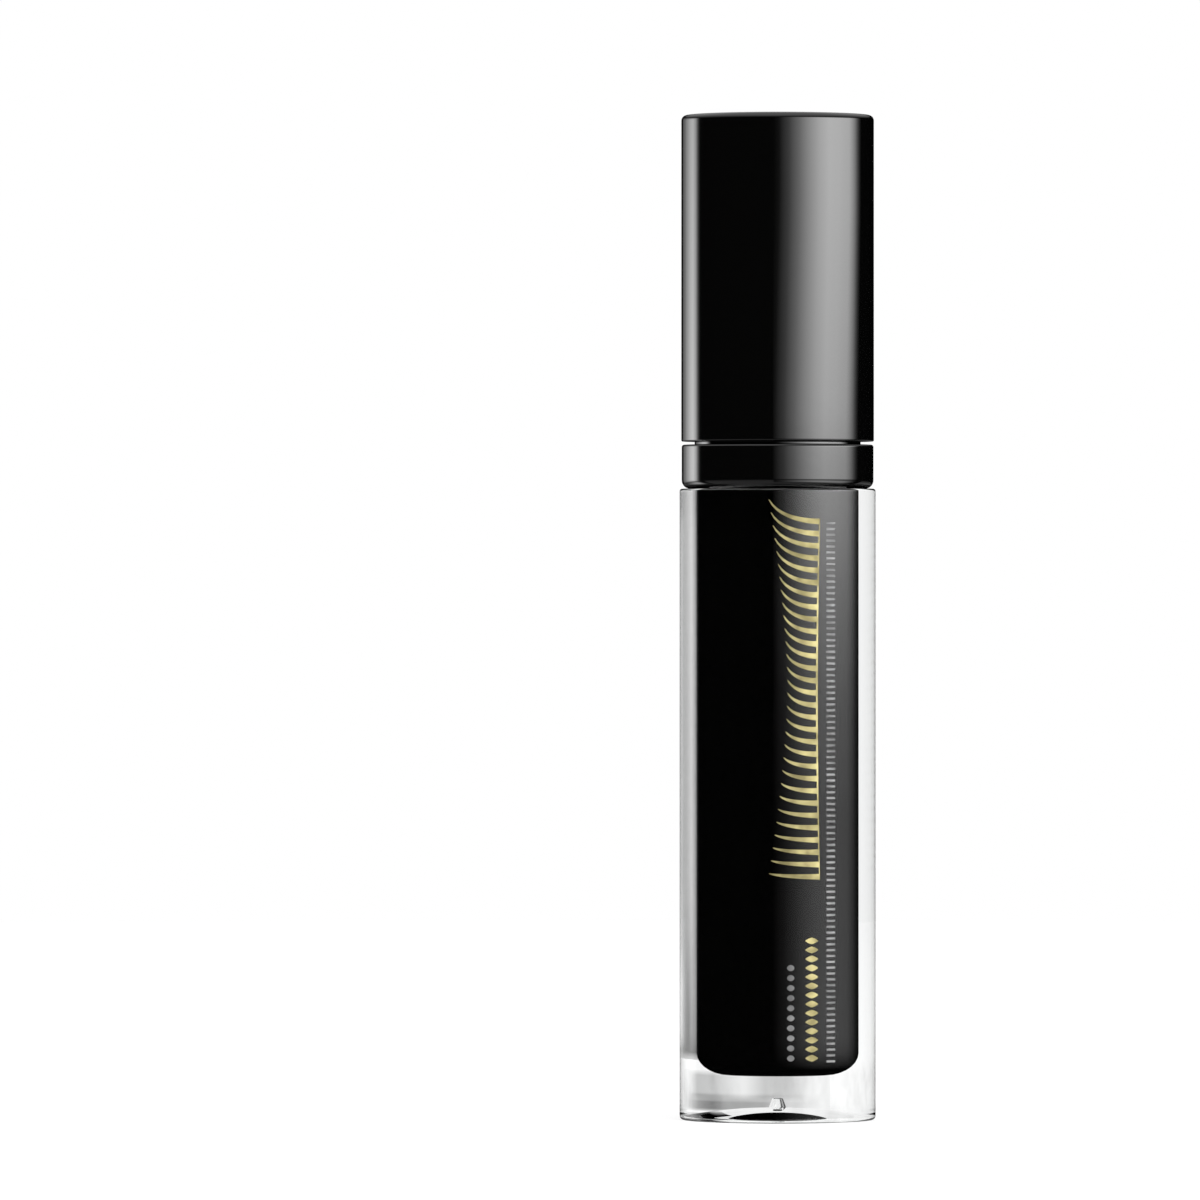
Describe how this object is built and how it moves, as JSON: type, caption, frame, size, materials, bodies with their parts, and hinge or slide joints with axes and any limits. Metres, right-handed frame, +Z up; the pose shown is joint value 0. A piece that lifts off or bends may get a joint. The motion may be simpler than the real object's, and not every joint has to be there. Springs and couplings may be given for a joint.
{
  "type": "mascara tube",
  "caption": "Clear heavy-walled cosmetic bottle with a black inner vial, a glossy screw cap, and a wand with a twisted-wire brush inside.",
  "frame": {"origin": "centre of the face that the bottle stands on", "axes": "+Z up along the tube, from the base to the cap; the decoration faces -Y"},
  "size_m": [0.0236, 0.0236, 0.121],
  "materials": {
    "clear_plastic": "polished clear acrylic",
    "vial": "black polypropylene",
    "collar": "high-gloss black",
    "wiper": "soft translucent polyethylene",
    "formula": "wet black paste",
    "cap": "high-gloss black",
    "liner": "black polypropylene",
    "washer": "foamed polyethylene",
    "weight": "plain steel",
    "rod": "satin black",
    "wire": "blackened stainless wire",
    "bristles": "nylon fibre"
  },
  "bodies": {
    "bottle": {"outer_bottle": "clear_plastic", "inner_vial": "vial", "collar_ring": "collar", "wiper": "wiper", "mascara_formula": "formula"},
    "seal": {"seal_washer": "washer"},
    "weight": {"cap_weight": "weight"},
    "applicator": {"cap_shell": "cap", "inner_cap": "liner", "wand_rod": "rod", "brush_wire": "wire", "brush_bristles": "bristles"}
  },
  "joints": [
    {"name": "pull_out", "type": "slide", "parent": "bottle", "child": "seal", "axis": [0, 0, 1], "range_m": [0, 0.084], "deforming": ["brush_bristles"]},
    {"name": "thread_rise", "type": "slide", "parent": "seal", "child": "weight", "axis": [0, 0, 1], "range_m": [0, 0.00376]},
    {"name": "unscrew", "type": "hinge", "parent": "weight", "child": "applicator", "pos_m": [0, 0, 0.09], "axis": [0, 0, 1], "range_deg": [0, 540]}
  ],
  "couplings": [
    {"joint": "thread_rise", "follows": "unscrew", "m_per_rad": 0.00039789}
  ]
}
